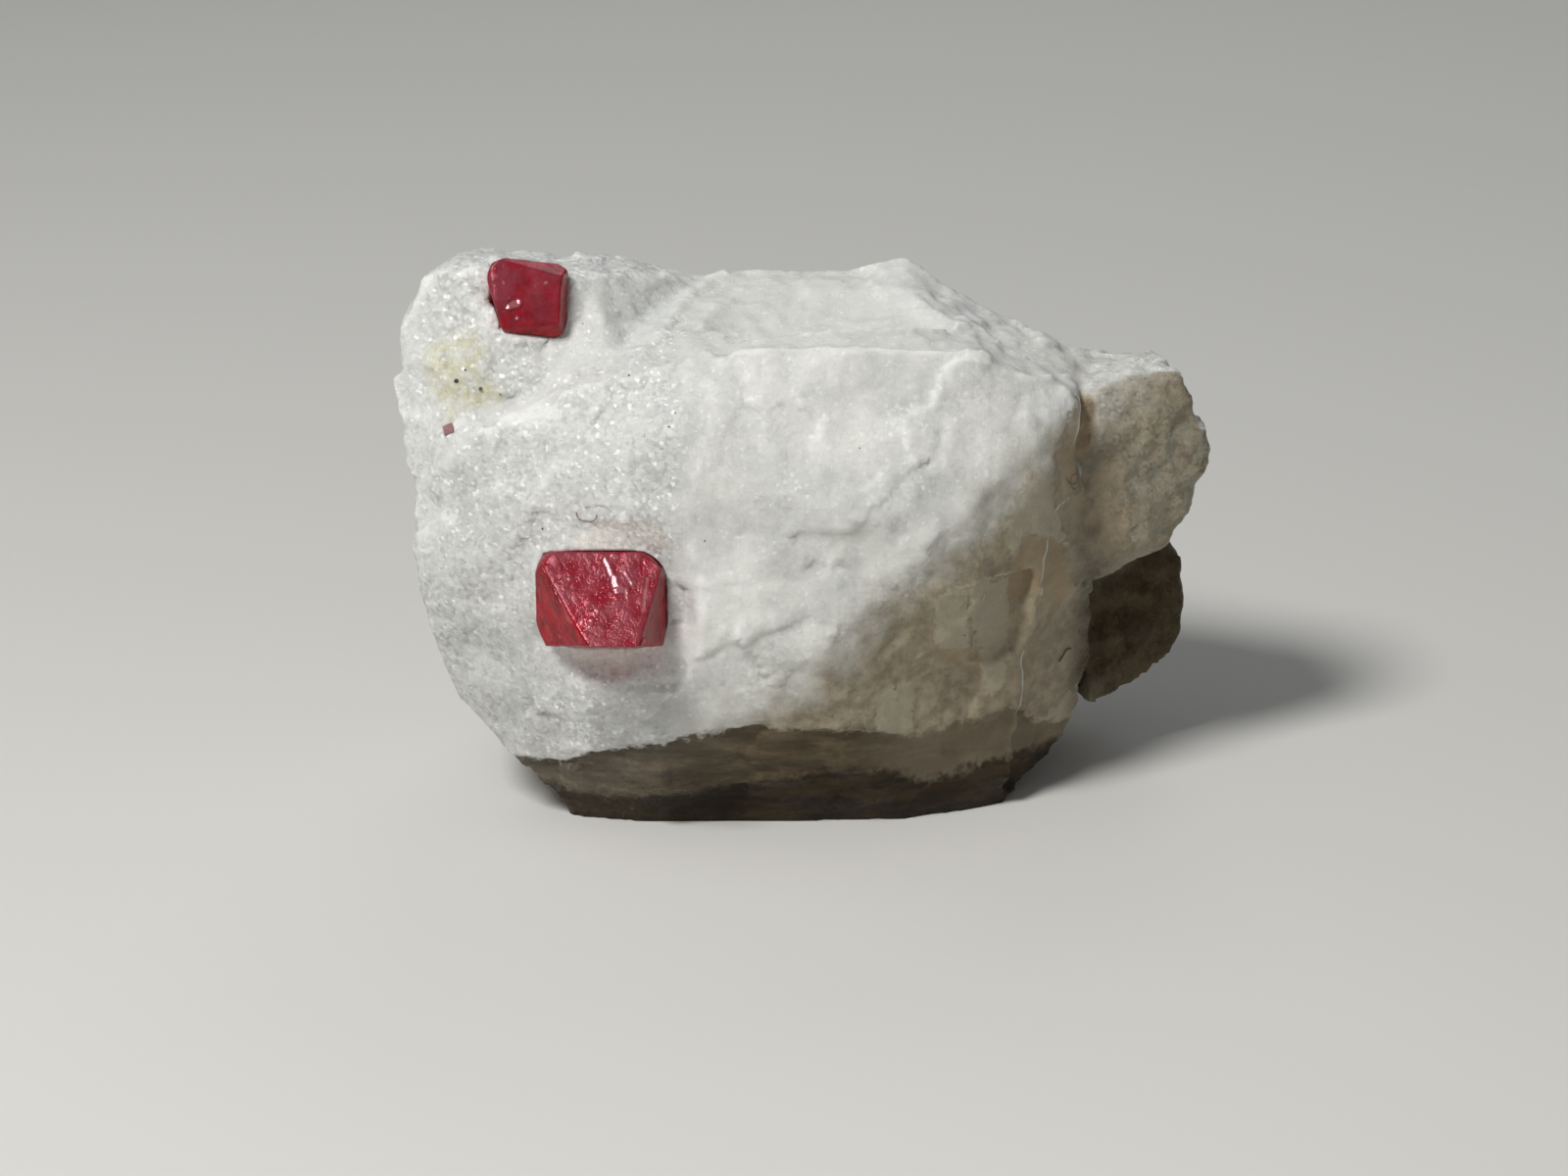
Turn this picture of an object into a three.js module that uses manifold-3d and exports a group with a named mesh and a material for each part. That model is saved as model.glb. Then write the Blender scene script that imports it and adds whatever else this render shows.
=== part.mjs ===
// Red spinel crystals standing in a broken block of white marble.
// Millimetres, +Z up. The face with the large crystal looks along -Y.
// The origin is under the middle of the specimen, on the surface it rests on.

import * as THREE from 'three';
import { ConvexGeometry } from 'three/addons/geometries/ConvexGeometry.js';
import { TessellateModifier } from 'three/addons/modifiers/TessellateModifier.js';
import { ImprovedNoise } from 'three/addons/math/ImprovedNoise.js';
import { mergeVertices } from 'three/addons/utils/BufferGeometryUtils.js';
import Module from 'manifold-3d';

const wasm = await Module();
wasm.setup();

// Driving dimensions of the marble block
const FRONT_Y = 0;
const SHELF_Y = 5;
const CREST_Y = 20;
const BACK_Y = 34;
const SHELF_Z = 34.6;
const CREST_Z = 35.8;
const KNOB_Z = 39.5;
const LOBE_TOP_Z = 30.8;
const LOBE_FOOT_Z = 15.4;
const KEEL_Z = 8;
const LEFT_X = -26.2;
const RIGHT_X = 20;
const LOBE_X = 27.9;
// The hulls reach a little under the surface, and the base cut takes that off.
const UNDER_Z = -0.8;

// Broken surface: length of the longest facet edge, and the relief on it
const FACET_EDGE = 2.65;
const FACET_SPLITS = 24;
const RELIEF = [
  { size: 9, height: 0.9, seed: 3.1 },
  { size: 4.2, height: 0.45, seed: 11.9 },
  { size: 2.1, height: 0.24, seed: 27.3 },
];
// Places in the noise that are read for the second and third direction
const SECOND_READING = 31.7;
const THIRD_READING = -17.3;
const BASE_FADE = 2.5;
const CALM_REACH = 2.2;
// Points closer than this are one point
const WELD = 1e-4;
const SPLIT_WELD = 1e-3;
// The block below the resting face that trims the foot flat
const FLOOR_SPAN = 100;
const FLOOR_DEPTH = 10;

// Spinel octahedra: half sizes across the girdle, and the radii of its four corners,
// from the upper right one anticlockwise as seen from in front
const LARGE = { halfWide: 4.4, halfTall: 3.55, corners: [1.9, 1.3, 1.4, 1] };
const UPPER = { halfWide: 2.95, halfTall: 2.55, corners: [0.9, 1.3, 1.9, 0.9] };
const GRAIN = { halfWide: 0.42, halfTall: 0.36, corners: [0.1, 0.1, 0.1, 0.1] };
// Angles in degrees: yaw turns the crystal to the right, lift turns it up
const LARGE_SEAT = { x: -13.4, y: 1.75, z: 18.4, yaw: 0, lift: -5.6, roll: 0 };
const UPPER_SEAT = { x: -18.3, y: 8.2, z: 37.4, yaw: 25, lift: 18, roll: -13 };
const GRAIN_SEAT = { x: -23.5, y: 4.8, z: 29.3, yaw: -35, lift: 20, roll: 30 };
// Clear space between a crystal and the wall of the pocket it sits in
const POCKET_GAP = 0.3;
const CORNER_STEPS = 5;

const CRYSTALS = [
  { name: 'spinel_large', size: LARGE, seat: LARGE_SEAT, colour: 0xa3102a },
  { name: 'spinel_upper', size: UPPER, seat: UPPER_SEAT, colour: 0xb3142c },
  { name: 'spinel_grain', size: GRAIN, seat: GRAIN_SEAT, colour: 0xb4606a },
];

// Corners of the body: the tall front, the two sides, the foot and the back
const BODY = [
  // Edge of the shelf above the front, left to right
  [-21.6, SHELF_Y - 2, 29.7], [-16.7, SHELF_Y - 1.5, 32.3], [-10.9, SHELF_Y - 0.5, 33.7],
  [-3.8, SHELF_Y, SHELF_Z], [4, SHELF_Y, SHELF_Z + 0.4], [11.8, SHELF_Y + 0.5, 34.2],
  [15.7, SHELF_Y + 1, 32.6], [18.2, SHELF_Y + 2, 31],
  // Swell of the front face
  [-12.8, FRONT_Y + 1.2, 24.9], [-14.4, FRONT_Y + 2, 12.1], [-7.6, FRONT_Y + 1, 29.7],
  [-7.7, FRONT_Y, 18.4], [2, FRONT_Y, 25.3],
  // Brow where the front turns towards the right, from the shelf down to the keel
  [15.2, SHELF_Y - 0.7, 27.6], [9, FRONT_Y + 1, 22.5], [2.1, FRONT_Y + 0.4, 16.4],
  [-1.2, FRONT_Y + 1.6, 11.4],
  // Right corner, which falls back towards the foot
  [17, SHELF_Y + 1.4, 25.2], [18.8, SHELF_Y + 4.6, 18.2], [RIGHT_X + 0.6, SHELF_Y + 6.4, 8],
  [19.6, SHELF_Y + 7, 4.2], [17.6, SHELF_Y + 7, 2.4],
  // Keel: the lower edge of the front face
  [-20.4, SHELF_Y + 2, 5.4], [-15.2, SHELF_Y - 0.5, 5.7], [-6.5, FRONT_Y + 3, KEEL_Z],
  [2.1, FRONT_Y + 3.2, KEEL_Z + 1], [12.1, SHELF_Y + 2, KEEL_Z],
  // Left side
  [LEFT_X, 6, 24.6], [LEFT_X + 0.5, 6, 17.6], [-24, 7, 10.9], [-25.5, 20, 27],
  [LEFT_X, 24, 16], [-20.5, 22, 4.5],
  // Foot
  [-15.2, 8.8, UNDER_Z], [-10.4, 7.8, UNDER_Z], [-0.2, 7.8, UNDER_Z], [7.6, 8.2, UNDER_Z],
  [12.4, 10, UNDER_Z], [-15, 28, UNDER_Z], [0, 30, UNDER_Z],
  [12, 27, UNDER_Z],
  // Crest at the back of the top
  [-11.3, CREST_Y - 2, CREST_Z], [-6.6, CREST_Y, CREST_Z], [0.8, CREST_Y + 1, CREST_Z],
  [6.6, CREST_Y + 1, CREST_Z], [10.7, CREST_Y, 34.6], [15.8, CREST_Y - 1, 31.3],
  [20.4, CREST_Y - 2, 30.4],
  // Back
  [-19, BACK_Y - 3, 10], [-20, 26, 29], [-9, BACK_Y - 5, 30], [-2, BACK_Y, 15],
  [5, BACK_Y - 5, 29], [13, BACK_Y - 1, 14], [14, 27, 27], [19.5, 25, 20],
];

// Corners of the knob that carries the upper crystal
const KNOB = [
  [-26.9, 8, 35.4], [-25.3, 9, 38.9], [-23.7, 9, KNOB_Z], [-20.2, 9, KNOB_Z],
  [-15.4, 10, 38.3], [-11.2, 16, CREST_Z + 1.2], [-14.2, 7.8, 35.2], [-11.4, 7.8, 33],
  [-26.4, 7, 29.8], [LEFT_X + 0.2, 6.2, 25], [LEFT_X + 0.4, 6.4, 19.4], [-24, 4.7, 22],
  [-21.9, 3.4, 28.6], [-21.8, 5.6, 31.2], [-17.8, 6.6, 31.5],
  [-14.3, 7.5, 32], [-10.6, 9, 32.8], [-6.8, CREST_Y - 1, CREST_Z + 0.1],
  [-24.6, 6.2, 31.4], [-23.7, 7.6, 35.1], [-20.7, 7.4, 35.2],
  [-16.9, 7.6, 34.4], [-22, 18, 38.6], [-26, 17, 33.5], [-16, 20, 37.2],
  [-25.4, 21, 27], [-20, 24, 31], [-10, 22, 33],
];

// Corners of the shallow dish between the shelf edge and the crest
const DISH = [
  [-9.5, 8.5, CREST_Z], [-2, SHELF_Y + 1.2, CREST_Z], [6, SHELF_Y + 1.4, CREST_Z],
  [12, 8.5, CREST_Z], [12.5, 14, CREST_Z], [7, CREST_Y - 0.5, CREST_Z + 1],
  [-2, CREST_Y - 1, CREST_Z + 1], [-7, 16, CREST_Z + 1],
  [-5, 10.5, SHELF_Z - 0.5], [4, 9.5, SHELF_Z - 0.5], [8.5, 11, SHELF_Z - 0.8],
  [5, 14, SHELF_Z - 0.2],
];

// Corners of the lobe that leans out on the right
const LOBE = [
  [22.8, 12, LOBE_TOP_Z + 0.3], [25.7, 12, LOBE_TOP_Z], [LOBE_X, 13, 24.4],
  [25.9, 13, 20.5], [25, 13.2, 17.8], [21.1, 12, LOBE_FOOT_Z + 0.3],
  [18.8, 11, LOBE_FOOT_Z + 0.4], [19.9, 9.8, LOBE_TOP_Z], [18.6, 10.4, 27.5],
  [19.5, 19, LOBE_TOP_Z - 0.2], [24, 20, LOBE_TOP_Z - 0.6], [26.8, 20, 24], [25, 21, 17.5],
  [16, 25, 28], [16, 25, LOBE_FOOT_Z + 0.6],
];

// Corners of the low lobe behind and under it
const LOW_LOBE = [
  [26.6, 21, 14], [26.8, 20, 8.8], [25.6, 19, 7], [22.9, 18, 5.4], [20.4, 16, 5.4],
  [19.6, 16, 14.4], [24.6, 22.5, 18], [17, 22, 18], [24.8, 29, 12.5], [21.5, 30, 6],
  [15, 29, 4.4], [15, 30.5, 16],
];

// Cleavage steps on the shaded lower right of the front, where blocks broke out.
// Each has its lower left corner, its width and height, and its depth in the face.
const CLEAVAGE_STEPS = [
  { x: 13.7, z: 1, wide: 9, tall: 22.4, deep: 0.9 },
  { x: 11.3, z: 12, wide: 4, tall: 7.4, deep: 0.6 },
  { x: 7.6, z: 7.4, wide: 5, tall: 4.6, deep: 0.6 },
];
// The face they lie in: a point on it, its turn to the right and its lean, in degrees
const SHADED_FACE = { x: 9, y: FRONT_Y + 1, z: 22.5, turn: 37, lean: 12 };
const STEP_REACH = 8;

// Conversions between three.js geometry and solids

function toSolid(geometry) {
  const bare = geometry.clone();
  bare.deleteAttribute('normal');
  bare.deleteAttribute('uv');
  const welded = mergeVertices(bare, WELD);
  return new wasm.Manifold(new wasm.Mesh({
    numProp: 3,
    vertProperties: Float32Array.from(welded.attributes.position.array),
    triVerts: Uint32Array.from(welded.index.array),
  }));
}

function toGeometry(solid) {
  const mesh = solid.getMesh();
  const geometry = new THREE.BufferGeometry();
  geometry.setAttribute('position', new THREE.BufferAttribute(mesh.vertProperties, 3));
  geometry.setIndex(new THREE.BufferAttribute(mesh.triVerts, 1));
  return geometry;
}

function hull(corners) {
  const points = corners.map((corner) => new THREE.Vector3(...corner));
  return toSolid(new ConvexGeometry(points));
}

// Crystals

// Outline of the girdle: a rectangle with round corners, moved out by grow
function girdleOutline(size, grow) {
  const outline = new THREE.Shape();
  const quarter = Math.PI / 2;
  const sides = [[1, 1], [-1, 1], [-1, -1], [1, -1]];
  sides.forEach(([sideX, sideY], i) => {
    const x = sideX * (size.halfWide - size.corners[i]);
    const y = sideY * (size.halfTall - size.corners[i]);
    outline.absarc(x, y, size.corners[i] + grow, i * quarter, (i + 1) * quarter);
  });
  return outline;
}

// An octahedron drawn out along its wider side, so that each apex is a short ridge.
// Local +Z is the axis that points out of the rock. Every face moves out by grow.
function octahedron(size, grow) {
  const girdleGrow = grow * Math.sqrt(1.5);
  const halfWide = size.halfWide + girdleGrow;
  const halfTall = size.halfTall + girdleGrow;
  const ridge = halfWide - halfTall;
  const apex = Math.SQRT2 * halfTall;
  const corners = [];
  for (const side of [-1, 1]) {
    corners.push([side * halfWide, halfTall, 0], [side * halfWide, -halfTall, 0]);
    corners.push([side * ridge, 0, apex], [side * ridge, 0, -apex]);
  }
  const rounder = new THREE.ExtrudeGeometry(
    girdleOutline(size, grow),
    { depth: 2 * apex, bevelEnabled: false, curveSegments: CORNER_STEPS },
  );
  rounder.translate(0, 0, -apex);
  return hull(corners).intersect(toSolid(rounder));
}

function seatMatrix(seat) {
  const turn = (axis, degrees) => new THREE.Quaternion().setFromAxisAngle(
    axis,
    THREE.MathUtils.degToRad(degrees),
  );
  const up = new THREE.Vector3(0, 0, 1);
  const right = new THREE.Vector3(1, 0, 0);
  const facing = turn(up, seat.yaw)
    .multiply(turn(right, 90 - seat.lift))
    .multiply(turn(up, seat.roll));
  const place = new THREE.Vector3(seat.x, seat.y, seat.z);
  return new THREE.Matrix4().compose(place, facing, new THREE.Vector3(1, 1, 1));
}

function seated(solid, seat) {
  return toSolid(toGeometry(solid).applyMatrix4(seatMatrix(seat)));
}

// Marble

// A box in front of the step's floor, turned to lie along the shaded face
function cleavageCut(step) {
  const turn = THREE.MathUtils.degToRad(SHADED_FACE.turn);
  const lean = THREE.MathUtils.degToRad(SHADED_FACE.lean);
  const box = new THREE.BoxGeometry(step.wide, STEP_REACH, step.tall);
  box.translate(step.wide / 2, step.deep - STEP_REACH / 2, step.tall / 2);
  box.rotateX(lean);
  box.rotateZ(turn);
  const back = (step.x - SHADED_FACE.x) * Math.tan(turn)
    - (step.z - SHADED_FACE.z) * Math.tan(lean) / Math.cos(turn);
  box.translate(step.x, SHADED_FACE.y + back, step.z);
  return toSolid(box);
}

const noise = new ImprovedNoise();

// One band of relief: a smooth vector that changes over about relief.size millimetres
function band(point, relief) {
  const x = point.x / relief.size + relief.seed;
  const y = point.y / relief.size - relief.seed;
  const z = point.z / relief.size + 2 * relief.seed;
  return new THREE.Vector3(
    noise.noise(x, y, z),
    noise.noise(y + SECOND_READING, z, x),
    noise.noise(z, x + THIRD_READING, y),
  ).multiplyScalar(relief.height);
}

// The rock lies smooth around the larger crystals: 0 at the girdle, 1 well away from it
function calm(point) {
  let share = 1;
  for (const { size, seat } of CRYSTALS) {
    const away = Math.hypot(point.x - seat.x, point.y - seat.y, point.z - seat.z);
    share *= THREE.MathUtils.smoothstep(away, size.halfWide, CALM_REACH * size.halfWide);
  }
  return share;
}

// Moves each point of a finely split surface by the bands of relief.
// Near the base the movement fades out, so that the cut underneath stays flat.
function breakSurface(geometry) {
  const split = new TessellateModifier(FACET_EDGE, FACET_SPLITS).modify(geometry);
  const surface = mergeVertices(split, SPLIT_WELD);
  const position = surface.attributes.position;
  const point = new THREE.Vector3();
  for (let i = 0; i < position.count; i += 1) {
    point.fromBufferAttribute(position, i);
    const fade = THREE.MathUtils.smoothstep(point.z, 0, BASE_FADE) * calm(point);
    const start = point.clone();
    for (const relief of RELIEF) {
      point.addScaledVector(band(start, relief), fade);
    }
    position.setXYZ(i, point.x, point.y, point.z);
  }
  return surface;
}

function marbleBlock() {
  let rock = hull(BODY).subtract(hull(DISH));
  for (const step of CLEAVAGE_STEPS) {
    rock = rock.subtract(cleavageCut(step));
  }
  rock = rock.add(hull(KNOB)).add(hull(LOBE)).add(hull(LOW_LOBE));
  const floor = new THREE.BoxGeometry(FLOOR_SPAN, FLOOR_SPAN, FLOOR_DEPTH);
  floor.translate(0, CREST_Y, -FLOOR_DEPTH / 2);
  return rock.subtract(toSolid(floor));
}

// Assembly

let rock = toSolid(breakSurface(toGeometry(marbleBlock())));
for (const { size, seat } of CRYSTALS) {
  rock = rock.subtract(seated(octahedron(size, POCKET_GAP), seat));
}

const specimen = new THREE.Group();

const matrix = new THREE.Mesh(
  toGeometry(rock),
  new THREE.MeshStandardMaterial({ color: 0xd6d6d0, roughness: 0.62, metalness: 0 }),
);
matrix.name = 'matrix';
specimen.add(matrix);

for (const { name, size, seat, colour } of CRYSTALS) {
  const crystal = new THREE.Mesh(
    toGeometry(octahedron(size, 0)),
    new THREE.MeshStandardMaterial({ color: colour, roughness: 0.12, metalness: 0 }),
  );
  crystal.name = name;
  crystal.applyMatrix4(seatMatrix(seat));
  specimen.add(crystal);
}

const middle = new THREE.Box3().setFromObject(specimen, true).getCenter(new THREE.Vector3());
specimen.position.set(-middle.x, -middle.y, 0);

export default specimen;
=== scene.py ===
# Red spinel crystals in a broken block of white marble.
# Metres and +Z up in Blender. Named sizes are in millimetres, and MM converts them.

import math

import bmesh
import bpy
import numpy as np
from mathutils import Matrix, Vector, noise
from mathutils.bvhtree import BVHTree


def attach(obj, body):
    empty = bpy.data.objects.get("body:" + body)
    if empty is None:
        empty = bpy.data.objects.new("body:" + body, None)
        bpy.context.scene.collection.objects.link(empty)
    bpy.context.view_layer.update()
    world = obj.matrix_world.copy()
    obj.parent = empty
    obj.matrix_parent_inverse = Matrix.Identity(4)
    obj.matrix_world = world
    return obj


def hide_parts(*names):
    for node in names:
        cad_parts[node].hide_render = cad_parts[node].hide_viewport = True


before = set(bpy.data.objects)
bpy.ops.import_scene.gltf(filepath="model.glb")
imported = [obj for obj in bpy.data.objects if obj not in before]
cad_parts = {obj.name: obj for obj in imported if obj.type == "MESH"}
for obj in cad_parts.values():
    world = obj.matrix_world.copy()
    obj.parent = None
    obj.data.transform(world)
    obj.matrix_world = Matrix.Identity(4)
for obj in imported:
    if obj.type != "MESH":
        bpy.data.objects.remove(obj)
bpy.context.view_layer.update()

MM = 0.001

# Camera
AIM = Vector((-1.77, -7.27, 16.9))
ELEVATION = math.radians(20)
DISTANCE = 300
LENS = 101.25
SENSOR = 36

# Lights: where each stands, its size, its power in watts and its colour
LIGHTS = {
    "key": ((-192, -272, 394), 120, 2.05, (1.0, 0.995, 0.97)),
    "fill": ((320, -260, 140), 260, 0.03, (1.0, 0.94, 0.86)),
    "back": ((60, 330, 300), 240, 0.16, (0.95, 0.98, 1.0)),
}
SKY = (0.86, 0.88, 0.9, 1)
SKY_STRENGTH = 0.17
FLOOR_COLOUR = (0.74, 0.73, 0.7, 1)
FLOOR_SPAN = 3000

# Marble surface
ROCK_GRID = 0.36
ROCK_ROUNDING = 2
BASE_BAND = 0.3
SEAT_GAP = 0.04
SEAT_REACH = 1.0
# Each crystal's girdle: its middle, its outward axis, the way its width runs, and its
# half width and half height. The rock around it lies level with it.
GIRDLES = {
    "spinel_large": ((-13.97, -13.52, 18.4), (0, -0.9952, -0.0976), (1, 0, 0), (4.4, 3.55)),
    "spinel_upper": (
        (-18.87, -7.07, 37.4),
        (0.402, -0.862, 0.309),
        (0.912, 0.355, -0.205),
        (2.95, 2.55),
    ),
}
RIM_DEPTH = 0.12
RIM_REACH = 2.4
# How far out the wear, the painted highlight and the stains of the rock look for edges and hollows
EDGE_ROUNDS = 4
HOLLOW_ROUNDS = 26

# Zones of the rock: centre and half sizes in millimetres, and the strength where it isn't 1
OCHRE = [((-23.5, -9.5, 33.2), (2.4, 4, 2.9)), ((-22, -10.1, 31.6), (1.6, 3, 0.9))]
CHIP = [((-19.2, -11.8, 30.9), (2.4, 1.6, 1.0)), ((16.4, -9.2, 31), (2.4, 2, 1.4))]
# Painted red glow: where light that has passed through the large crystal would redden the rock below it
PAINTED_RED_GLOW = [((-13.7, -13, 13.8), (3.9, 3, 2.2))]
STAIN = [
    ((15.2, -7.6, 12.8), (5.2, 5, 8), 0.3),
    ((8.7, -12.6, 16.2), (4.2, 4, 4.6), 0.2),
    ((18.6, -5.4, 28.9), (0.8, 1.4, 1.6), 0.9),
    ((18.6, -5.8, 27), (0.8, 1.4, 1.4), 0.85),
    ((17.5, -7.9, 25.2), (0.9, 1.4, 1.6), 0.65),
    ((21.8, -4.6, 26.4), (3, 3, 2.6), 0.25),
    ((23.8, -3.8, 28.9), (2.2, 2, 1.6), 0.12),
    ((20.2, -4.6, 21.6), (2.6, 3, 5), 0.4),
    ((22.4, -3.6, 18), (3, 3, 2), 0.3),
]
# Low lobe at the back on the right: dark brown, darkened further by painted shade
LOW_LOBE = [((25, 4, 9.5), (8, 14, 8))]
GREY = [((-22, -7, 11), (8, 9, 9)), ((-11.5, -10, 9), (5, 6, 3.5))]
# How far noise moves the edge of a zone, as a share of its size
ZONE_WOBBLE = 0.45

# Patches of the rock as seen from in front: millimetres right of and up from the middle of the view
PATCHES = {
    "snow": [
        [
            (-8.8, 16.67), (-7.33, 18.53), (-6.33, 20), (-3.87, 21.33), (-0.67, 22.13), (5.33, 22.53),
            (6.13, 20), (8.67, 18.8), (11, 17.47), (13.33, 17.87), (16, 18.53), (17.33, 17),
            (20, 16.27), (22.67, 16), (23.47, 14.8), (19.67, 14.47), (16.67, 14.47), (15.33, 15.2),
            (13.33, 16), (10, 16.27), (6.67, 16.47), (3.33, 16.53), (-2.67, 16.27), (-6.67, 15.87),
            (-9, 15.07), (-10.67, 14.27), (-13.33, 13.93), (-15.33, 13.33), (-15.67, 12.53),
            (-20, 10.87), (-21.07, 11.93), (-21.07, 13.2), (-18.67, 13.13), (-16, 13.8),
            (-13.33, 14.67), (-10, 15.27),
        ],
    ],
    "glassy": [
        [
            (6.2, 22.53), (12.67, 21.6), (16.13, 18.8), (13.33, 17.93), (10.87, 17.6), (8.67, 18.87),
            (6.2, 20.13),
        ],
        [
            (-14.47, 21.13), (-4, 21.53), (-6.33, 20.07), (-7.4, 18.6), (-8.87, 16.73),
            (-10.67, 15.47), (-13.47, 14.8), (-16, 13.93), (-16.27, 16), (-14.33, 17.33),
        ],
    ],
    "pale": [
        [
            (12.67, 0), (13.73, 0.53), (15.13, 0.8), (15.4, -2.67), (15.27, -6.53), (14, -7.53),
            (13.53, -6.13), (13.13, -4),
        ],
        [
            (10.2, -0.8), (12.33, 0.27), (12.67, -2.67), (12.87, -4.2), (10.47, -4.13),
        ],
        [
            (6.67, -7.07), (8.8, -6.27), (8.87, -9.87), (7.67, -10.07), (6.2, -9.93),
        ],
        [
            (14.8, 4.53), (16.67, 7.87), (17.87, 8), (18.67, 5.33), (19.2, 2.93), (17.6, 3.67),
            (16.4, 3.67), (15.47, 2),
        ],
        [
            (16.67, -9.47), (18.33, -8.33), (20.13, -6.67), (21.33, -7.73), (20.33, -9.87),
            (19, -10.2), (17.67, -10),
        ],
    ],
    "tan": [
        [
            (15.33, 1.47), (16.53, 3.6), (17.47, 3.67), (19.07, 2.67), (19.73, 0), (18.67, -0.87),
            (16.8, -0.4), (15.47, -0.8),
        ],
        [
            (10.53, -4.27), (12.8, -4.27), (13.53, -6), (12, -5.33), (10.8, -5.07),
        ],
        [
            (18.4, 8.67), (19.73, 12), (20.27, 13.33), (20.8, 12), (20.8, 9.87), (20.27, 8.67),
            (19.33, 8),
        ],
    ],
    "brown": [
        [
            (11.73, -9.2), (14.53, -9.07), (15.47, -8), (17.33, -9.2), (17.73, -10.13),
            (16.67, -11.33), (13.33, -12.13), (10.33, -11.33),
        ],
    ],
    # Dents above and below the large crystal, tinted pink as a painted red glow
    "dent": [
        [
            (-16.27, -3.67), (-7.73, -3.47), (-8.8, -5.07), (-11.07, -6.13), (-13.33, -5.6),
            (-15.2, -4.87),
        ],
        [
            (-14.53, 2.93), (-14.4, 3.67), (-12.67, 4.4), (-9.33, 4.6), (-7.87, 3.67), (-7.53, 2.53),
        ],
    ],
}
# How squarely the rock has to face the view to take a patch
PATCH_FACING = 0.14
# Furthest distance into or out of a patch that the mesh keeps
PATCH_DEPTH = 3
# Where the layered foot of the rock begins, and where its underside, dark with brown staining and
# painted shade, does, seen the same way
LAYER_LINE = [
    (-20, -11.47), (-18, -11.73), (-14.67, -11.87), (-13.33, -11.33), (-10, -10.53), (-6.67, -10.13),
    (0, -9.6), (3.33, -9.87), (10, -10.07), (11.67, -9.33), (15.67, -8.07), (17.67, -9.4),
    (21.33, -9.87),
]
KEEL_LINE = [
    (-20, -11.47), (-17.33, -13.33), (-13.33, -14.13), (-6.67, -13.87), (0, -13.07), (3.33, -12.67),
    (6.67, -12.87), (10, -13.13), (12.33, -12.33), (16.67, -11.53), (20, -10.47), (21.33, -10),
]

# Steps in the front where a thin sheet of marble has broken away: the two ends in X and Z,
# how far the side below drops, and how far down that fades out
LEDGES = [
    ((-9.2, 14.0), (-0.4, 17.7), 0.24, 5),
    ((-0.4, 17.7), (3.4, 16.6), 0.18, 4),
    ((-5.4, 20.2), (2.6, 21.5), 0.12, 1.2),
    ((-8.0, 23.5), (-9.9, 13.8), 0.08, 4),
    ((-9.6, 33.0), (-8.0, 23.5), 0.08, 4),
    ((-17.0, 6.2), (-3.0, 9.0), 0.2, 3),
]

# Upright blocks that the marble cleaves into on the right of the front
BLOCK_WAY = np.array([math.cos(math.radians(37)), math.sin(math.radians(37)), 0])
BLOCK_WIDTH = 2.5
BLOCK_HEIGHT = 4.3
BLOCK_DEPTH = 0.1
# Rounds of evening out that soften the large steps there
BLOCK_ROUNDS = 60

# Weights that shape the rock but don't colour it
SHAPE_ONLY = ("lobe", "plain", "block")

MARBLE_IOR = 1.55
MARBLE_GLOSS = 0.15
# Light that scatters below the surface: its share, and how far it goes in millimetres
MARBLE_GLOW = 0.45
MARBLE_GLOW_DEPTH = 0.7
MARBLE_GLOW_SPREAD = (1.0, 0.93, 0.84)

# Colours of the marble, from fresh rock to brown stains, with painted shade, a painted red glow and
# painted glints among them
MARBLE = {
    "white": (0.79, 0.79, 0.75),
    "grey": (0.61, 0.615, 0.59),
    "streak": (0.86, 0.86, 0.83),
    "glassy grain": (0.56, 0.57, 0.565),
    "white grain": (0.79, 0.79, 0.78),
    "coarse grain": (0.66, 0.67, 0.66),
    "glassy": (0.72, 0.73, 0.71),
    "snow": (0.70, 0.70, 0.675),
    "chip": (0.9, 0.9, 0.885),
    # Ridges whitened as worn, bruised marble and as a painted highlight
    "edge": (0.92, 0.92, 0.90),
    # Painted glints on single grains
    "painted grain glint": (0.96, 0.96, 0.95),
    "low grey": (0.52, 0.525, 0.50),
    "film": (0.60, 0.57, 0.36),
    # Pink of the dents by the large crystal: a painted red glow
    "dent": (0.80, 0.735, 0.685),
    # Painted red glow of light through the large crystal
    "painted_red_glow": (0.62, 0.16, 0.17),
    # Painted shade over brown-grey staining, on the right of the front
    "earth_and_shade": (0.34, 0.29, 0.195),
    "dark earth": (0.215, 0.17, 0.105),
    # Painted shade over the mottled grey-brown of the lobe
    "lobe": (0.30, 0.285, 0.225),
    # Painted shadow of the main block on the lobe
    "lobe_cast_shadow": (0.15, 0.13, 0.09),
    "thin stain": (0.40, 0.325, 0.225),
    "thick stain": (0.105, 0.072, 0.042),
    "pale": (0.42, 0.385, 0.295),
    "tan": (0.36, 0.275, 0.17),
    "brown": (0.10, 0.075, 0.035),
    # The foot's layers and underside: brown staining, darkened further by painted shade
    "light layer": (0.125, 0.094, 0.054),
    "middle layer": (0.07, 0.049, 0.025),
    "dark layer": (0.042, 0.03, 0.017),
    "beige layer": (0.25, 0.21, 0.145),
    "dirt_and_shade": (0.045, 0.029, 0.013),
    "dark dirt": (0.017, 0.010, 0.0045),
    # The low lobe's dark brown, darkened further by painted shade
    "low lobe": (0.088, 0.063, 0.029),
    "dark low lobe": (0.056, 0.039, 0.017),
}

# Crystals: grid of the fine mesh, rounds of smoothing, and the ripple of the faces
CRYSTALS = {
    "spinel_large": (0.08, 11, 0.035),
    "spinel_upper": (0.075, 36, 0.04),
    "spinel_grain": (0.03, 14, 0.02),
}
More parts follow.
